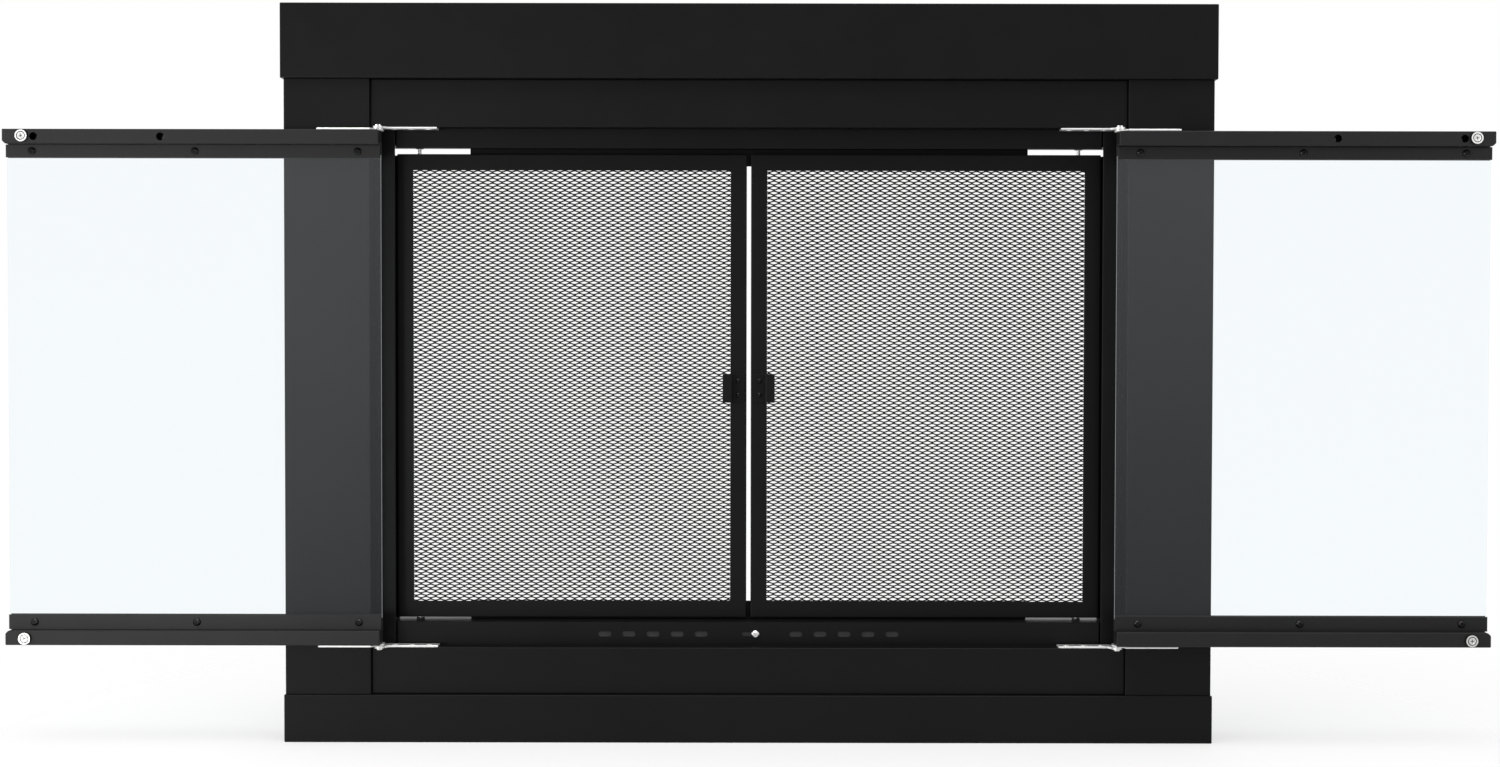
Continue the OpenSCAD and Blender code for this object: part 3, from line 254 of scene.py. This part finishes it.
def add_lamps():
    add_lamp("key_lamp", at=(-2.35, -1.35, 0.60), target=(0, -0.05, 0.20), size=(1.0, 0.8), watts=17)
    add_lamp("low_lamp", at=(-1.25, -2.0, 0.25), target=(-0.4, -0.05, 0.15), size=(0.6, 0.5), watts=9)
    add_lamp("fill_lamp", at=(1.9, -1.6, 1.0), target=MIDDLE, size=(1.0, 1.0), watts=5)
    add_lamp("top_lamp", at=(-0.3, -0.7, 2.7), target=(-0.1, -0.1, 0), size=(2.8, 2.2), watts=62)
    add_lamp("back_lamp", at=(0.6, 2.4, 1.8), target=MIDDLE, size=(1.6, 1.2), watts=9)


def add_world():
    """A white studio that lights the object only softly. Metal and paint reflect the side where the
    camera stands dimmer than the rest."""
    world = bpy.data.worlds.new("studio")
    bpy.context.scene.world = world
    world.use_nodes = True
    tree = world.node_tree
    sky = tree.nodes["Background"]
    sky.inputs["Color"].default_value = (1, 1, 1, 1)
    where = tree.nodes.new("ShaderNodeTexCoord")
    parts = tree.nodes.new("ShaderNodeSeparateXYZ")
    tree.links.new(where.outputs["Generated"], parts.inputs[0])
    y = parts.outputs["Y"]
    painted_recess_shade = spread_out(tree, y, FRONT_WHITE, 1.0, FRONT_MIDDLE, FRONT_ENDS, "SMOOTHSTEP")
    share = spread_out(tree, rays(tree, "Glossy"), SOFT_LIGHT, 1.0)
    unseen = maths(tree, "MULTIPLY", painted_recess_shade, share)
    strength = spread_out(tree, rays(tree, "Camera", "Transmission"), unseen, 1.0)
    tree.links.new(strength, sky.inputs["Strength"])


def pale_floor():
    """Pale board that keeps the shadow, and fades into the white studio away from the object."""
    white = (BOARD_WHITE, BOARD_WHITE, BOARD_WHITE, 1)
    board = Finish("pale_floor", Base_Color=white, Roughness=0.9, Specular_IOR_Level=0.1)
    length = board.add("ShaderNodeVectorMath", operation="LENGTH")
    board.join(board.place, length.inputs[0])
    away = length.outputs["Value"]
    seen = spread_out(board.tree, away, 1 - FLOOR_WHITE, 0.0, FADE_FROM, FADE_TO, "SMOOTHSTEP")
    sight = rays(board.tree, "Camera", "Glossy", "Transmission")
    board.cover(spread_out(board.tree, sight, 1.0, seen))
    return board.material


def add_floor():
    """A level floor under the object, wide enough for every view."""
    mesh = bpy.data.meshes.new("floor")
    corners = [(x * FLOOR_HALF, y * FLOOR_HALF, 0) for x, y in ((-1, -1), (1, -1), (1, 1), (-1, 1))]
    mesh.from_pydata(corners, [], [(0, 1, 2, 3)])
    mesh.materials.append(pale_floor())
    floor = bpy.data.objects.new("floor", mesh)
    bpy.context.scene.collection.objects.link(floor)


# ---- materials


def black_coat(name, dark, light, gloss):
    """Satin black powder coat: an even charcoal with faint orange peel."""
    paint = Finish(name, Specular_IOR_Level=gloss)
    cloud = paint.noise(per_metre=5, detail=3)
    grain = paint.noise(per_metre=1100)
    paint.colours(paint.total(paint.spread(cloud, 0, 0.7), grain, 0.3), dark, light)
    wear = paint.noise(per_metre=28, detail=4)
    paint.roughness(paint.spread(wear, 0.36, 0.44))
    orange_peel = paint.noise(per_metre=380, detail=1)
    paint.bump(orange_peel, 0.006 * MM)
    return paint.material


def powder_coat():
    return black_coat("powder_coat", (0.0046, 0.0046, 0.0048), (0.0066, 0.0066, 0.0069), gloss=0.13)


def rail_coat():
    """The same paint on the door rails, glossier, and with its colour painted lighter: a painted sheen
    for the light that the rails catch.
    """
    return black_coat("rail_coat", (0.0115, 0.0115, 0.0117), (0.0150, 0.0150, 0.0153), gloss=0.24)


def mesh_paint():
    """The thinner paint on the expanded steel, which collects a little dust."""
    paint = Finish("mesh_paint", Specular_IOR_Level=0.13)
    dust = paint.noise(per_metre=90, detail=4)
    paint.colours(paint.spread(dust, 0, 1), (0.006, 0.006, 0.0062), (0.011, 0.0107, 0.0105))
    paint.roughness(paint.spread(paint.noise(per_metre=600), 0.38, 0.55))
    paint.bump(paint.noise(per_metre=2500), 0.02 * MM)
    return paint.material


def clear_glass():
    """Clear tempered glass with a faint green tint, thin enough not to bend what is behind it. On each
    face, a lit film with a painted glow stands in for the pane's reflection: it is painted thinner
    towards the foot of the pane, and veils it more the flatter the view."""
    # Painted reflection: a pale film over a share of each face, whose emission is a painted glow
    painted_veil = Finish(
        "clear_glass", IOR=1.45, Specular_IOR_Level=0.1, Roughness=0.04,
        Emission_Color=(0.95, 0.97, 1, 1), Emission_Strength=PAINTED_GLOW,
    )
    patches = painted_veil.noise(per_metre=4, detail=3)
    painted_veil.colours(painted_veil.spread(patches, 0, 1), (0.05, 0.052, 0.053), (0.07, 0.072, 0.073))
    low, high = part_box("left_glass")
    # The painted reflection is thinner towards the foot of the pane, where the pane reflects less light
    veil = painted_veil.spread(painted_veil.along("Z"), PAINTED_VEIL_LOW, PAINTED_VEIL_HIGH, low.z, high.z)
    # The painted reflection grows where the view is slanted, as a pane's reflection does
    facing = painted_veil.add("ShaderNodeLayerWeight").outputs["Facing"]
    slant = maths(painted_veil.tree, "POWER", painted_veil.spread(facing, 0, 1, SLANT_FROM, 1), SLANT_POWER)
    painted_veil.cover(painted_veil.total(veil, slant, 1 - PAINTED_VEIL_HIGH), tint=(0.956, 0.977, 0.986))
    return painted_veil.material


def heat_tape():
    """Black woven glass-fibre tape."""
    tape = Finish("heat_tape", Specular_IOR_Level=0.2, Roughness=0.9)
    waves = []
    for direction in ("X", "Z"):
        wave = tape.add("ShaderNodeTexWave", bands_direction=direction)
        wave.inputs["Scale"].default_value = 420
        wave.inputs["Distortion"].default_value = 0.6
        tape.join(tape.place, wave.inputs["Vector"])
        waves.append(wave.outputs["Fac"])
    weave = tape.total(waves[0], waves[1], 1.0)
    tape.colours(tape.spread(weave, 0, 1, 0, 2), (0.006, 0.006, 0.006), (0.022, 0.022, 0.021))
    tape.bump(weave, 0.15 * MM)
    return tape.material


def handle_paint():
    """Smooth satin black on the handles, a little polished by hands."""
    paint = Finish("handle_paint", Specular_IOR_Level=0.5)
    cloud = paint.noise(per_metre=30, detail=3)
    paint.colours(paint.spread(cloud, 0, 1), (0.009, 0.009, 0.009), (0.014, 0.014, 0.0145))
    polish = paint.noise(per_metre=45, detail=4)
    paint.roughness(paint.spread(polish, 0.24, 0.38))
    paint.bump(paint.noise(per_metre=900), 0.01 * MM)
    return paint.material


def bright_nickel():
    """Bright nickel plate with hair-fine scratches."""
    plate = Finish("bright_nickel", Metallic=1.0)
    cloud = plate.noise(per_metre=300, detail=3)
    plate.colours(plate.spread(cloud, 0, 1), (0.82, 0.81, 0.79), (0.90, 0.89, 0.87))
    plate.roughness(plate.spread(plate.noise(per_metre=500, detail=3), 0.16, 0.30))
    scratches = plate.noise(per_metre=2600, stretch=(1, 1, 0.1))
    plate.bump(scratches, 0.004 * MM)
    return plate.material


def bright_zinc():
    """Bright zinc plate: pale metal with a rolled grain along its length and faint cloudy patches."""
    plate = Finish("bright_zinc", Metallic=0.75)
    cloud = plate.noise(per_metre=60, detail=4)
    plate.colours(plate.spread(cloud, 0, 1), (0.86, 0.86, 0.86), (0.95, 0.95, 0.93))
    grain = plate.noise(per_metre=1600, stretch=(0.06, 1, 1))
    plate.roughness(plate.spread(grain, 0.30, 0.46))
    plate.bump(grain, 0.008 * MM)
    return plate.material


def sunk_plate(name, node, smooth, rough):
    """Bright plate on the faces of the node, and black in the grooves and recesses below them: painted
    shade, where these hollows fall into shade.
    """
    plate = Finish(name, Metallic=0.9)
    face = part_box(node)[0].y
    # Painted shade: the plate turns black just below its face, in the grooves and recesses
    painted_recess_shade = plate.spread(plate.along("Y"), 0, 1, face + FACE_DEPTH, face + 2 * FACE_DEPTH)
    plate.colours(painted_recess_shade, (0.96, 0.955, 0.94), (0.012, 0.012, 0.012))
    plate.roughness(plate.spread(plate.noise(per_metre=500, detail=3), smooth, rough))
    scratches = plate.noise(per_metre=2600, stretch=(1, 1, 0.1))
    plate.bump(scratches, 0.004 * MM)
    return plate.material


def magnet_plate():
    return sunk_plate("magnet_plate", "left_magnets", smooth=0.24, rough=0.36)


def magnet_screw_plate():
    return sunk_plate("magnet_screw_plate", "left_magnet_screws", smooth=0.16, rough=0.28)


def grey_steel():
    """Dull grey phosphate, a little blotchy. Seen through the sill's slots, its grey is painted shade,
    standing in for the shaded space behind them.
    """
    steel = Finish("grey_steel", Specular_IOR_Level=0.25)
    blotch = steel.noise(per_metre=120, detail=5)
    steel.colours(steel.spread(blotch, 0, 1), (0.026, 0.026, 0.0257), (0.042, 0.042, 0.041))
    steel.roughness(steel.spread(blotch, 0.45, 0.65))
    steel.bump(steel.noise(per_metre=1800), 0.01 * MM)
    return steel.material


def black_oxide():
    """Glossy black screws."""
    oxide = Finish("black_oxide", Specular_IOR_Level=0.3)
    cloud = oxide.noise(per_metre=700)
    oxide.colours(oxide.spread(cloud, 0, 1), (0.0015, 0.0015, 0.0015), (0.0035, 0.0035, 0.0035))
    oxide.roughness(oxide.spread(oxide.noise(per_metre=900, detail=3), 0.12, 0.24))
    oxide.bump(oxide.noise(per_metre=3000), 0.006 * MM)
    return oxide.material


def dark_bushing():
    """Dark sintered metal, open-pored and oily."""
    metal = Finish("dark_bushing", Specular_IOR_Level=0.5)
    pores = metal.noise(per_metre=2200, detail=3)
    metal.colours(metal.spread(pores, 0, 1), (0.006, 0.006, 0.006), (0.02, 0.019, 0.018))
    metal.roughness(metal.spread(pores, 0.35, 0.6))
    metal.bump(pores, 0.02 * MM)
    return metal.material


SLOTS = {
    "steel_black": powder_coat,
    "mesh_black": mesh_paint,
    "clear_glass": clear_glass,
    "heat_tape": heat_tape,
    "handle_black": handle_paint,
    "nickel": bright_nickel,
    "zinc": bright_zinc,
    "grey_steel": grey_steel,
    "black_screw": black_oxide,
    "bushing": dark_bushing,
}

# These nodes, by the ends of their names, have a finish of their own
SPECIAL = {
    "_rail": rail_coat,
    "_strips": rail_coat,
    "_magnets": magnet_plate,
    "_magnet_screws": magnet_screw_plate,
}


# ---- the CAD nodes


def dress_cad_nodes(materials, special):
    """Gives every CAD node its finish, and softens its edges as paint and tooling leave them."""
    for sub in frame["record"]["subparts"]:
        name = sub["node"]
        node = frame["nodes"][name]
        ending = next((ending for ending in special if name.endswith(ending)), None)
        node.data.materials.clear()
        node.data.materials.append(special[ending] if ending else materials[sub["material_slot"]])
        weigh_edges(node.data)
        soften(node)


def weigh_edges(mesh):
    """Marks how far each long outer edge is to be rounded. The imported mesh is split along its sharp
    edges, so the two sides of an edge are found by where their ends are."""
    sides = {}
    for face in mesh.polygons:
        for loop in face.loop_indices:
            edge = mesh.loops[loop].edge_index
            ends = mesh.edges[edge].vertices
            a, b = (mesh.vertices[v].co for v in ends)
            apex = next(mesh.vertices[v].co for v in face.vertices if v not in ends)
            where = frozenset((a.to_tuple(PLACE_DECIMALS), b.to_tuple(PLACE_DECIMALS)))
            sides.setdefault(where, []).append((edge, face.normal, a, b, apex))
    weights = [0.0] * len(mesh.edges)
    for pair in sides.values():
        if len(pair) != 2:
            continue
        (edge_1, normal_1, a, b, apex_1), (edge_2, normal_2, _, _, apex_2) = pair
        along = b - a
        is_sharp = normal_1.angle(normal_2, 0) > SHARP_ANGLE
        is_outer = (apex_2 - a).dot(normal_1) < 0
        if not (is_sharp and is_outer and along.length > SHORTEST_EDGE):
            continue
        room = min((apex - a).cross(along).length / along.length for apex in (apex_1, apex_2))
        weights[edge_1] = weights[edge_2] = min(1.0, EDGE_SHARE * room / FOLD_ROUND)
    mark = mesh.attributes.new("bevel_weight_edge", "FLOAT", "EDGE")
    mark.data.foreach_set("value", weights)


def soften(node):
    """Rounds the marked edges by modifiers alone: the mesh and its place stay."""
    weld = node.modifiers.new("weld", "WELD")
    weld.merge_threshold = WELD_GAP
    flat = node.modifiers.new("flat", "DECIMATE")
    flat.decimate_type = "DISSOLVE"
    flat.angle_limit = FLAT_ANGLE
    round_edge = node.modifiers.new("round_edge", "BEVEL")
    round_edge.width = FOLD_ROUND
    round_edge.segments = FOLD_STEPS
    round_edge.limit_method = "WEIGHT"
    round_edge.use_clamp_overlap = False
    shade = node.modifiers.new("shade", "WEIGHTED_NORMAL")
    shade.keep_sharp = True


# ---- the expanded metal


def sweep_ribbon(bm, path, section):
    """A closed bar that carries section, a list of (y, z) offsets, through the points of path."""
    rings = []
    for x, z in path:
        rings.append([bm.verts.new((x, y, z + dz)) for y, dz in section])
    for a, b in zip(rings, rings[1:]):
        for i in range(len(section)):
            j = (i + 1) % len(section)
            bm.faces.new((a[i], a[j], b[j], b[i]))
    bm.faces.new(list(reversed(rings[0])))
    bm.faces.new(rings[-1])


def expanded_metal(node, body, material):
    """Rows of slit steel pulled open: each row zigzags, and meets the next one at its knuckles."""
    # One diamond, from knuckle to knuckle across and up, and the flat length of a knuckle
    long_way = 10.0 * MM
    short_way = 5.2 * MM
    knuckle = 1.7 * MM
    # A strand is this high and thick, and its foot stands this far behind its head
    strand_h = 1.45 * MM
    strand_t = 0.55 * MM
    lean = 0.45 * MM
    # The rows stay this far inside the edges of the plain sheet that they replace
    inset = 2.0 * MM
    low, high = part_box(node)
    x0, x1 = low.x + inset, high.x - inset
    z0, z1 = low.z + inset, high.z - inset
    y_front = low.y
    section = [
        (y_front, strand_h / 2), (y_front + strand_t, strand_h / 2),
        (y_front + lean + strand_t, -strand_h / 2), (y_front + lean, -strand_h / 2),
    ]
    rows = round((z1 - z0) / (short_way / 2))
    row_h = (z1 - z0) / rows
    halves = round((x1 - x0) / (long_way / 2))
    half_w = (x1 - x0) / halves
    rise = (row_h - strand_h) / 2
    bm = bmesh.new()
    for row in range(rows):
        middle = z0 + (row + 0.5) * row_h
        path = []
        for k in range(halves + 1):
            up = rise if (k + row) % 2 else -rise
            for side in (-1, 1):
                x = min(max(x0 + k * half_w + side * knuckle / 2, x0), x1)
                if not path or x > path[-1][0]:
                    path.append((x, middle + up))
        sweep_ribbon(bm, path, section)
    bmesh.ops.recalc_face_normals(bm, faces=bm.faces)
    mesh = bpy.data.meshes.new(node + "_expanded")
    bm.to_mesh(mesh)
    bm.free()
    mesh.materials.append(material)
    piece = bpy.data.objects.new(node.replace("screen", "expanded_metal"), mesh)
    bpy.context.scene.collection.objects.link(piece)
    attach(piece, body)
    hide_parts(node)


# ---- the scene

scene = bpy.context.scene
scene.view_settings.view_transform = "Standard"
add_camera()
add_world()
add_floor()
add_lamps()

materials = {slot: make() for slot, make in SLOTS.items()}
dress_cad_nodes(materials, {ending: make() for ending, make in SPECIAL.items()})
for side in ("left", "right"):
    expanded_metal(f"{side}_mesh_screen", f"{side}_mesh_door", materials["mesh_black"])
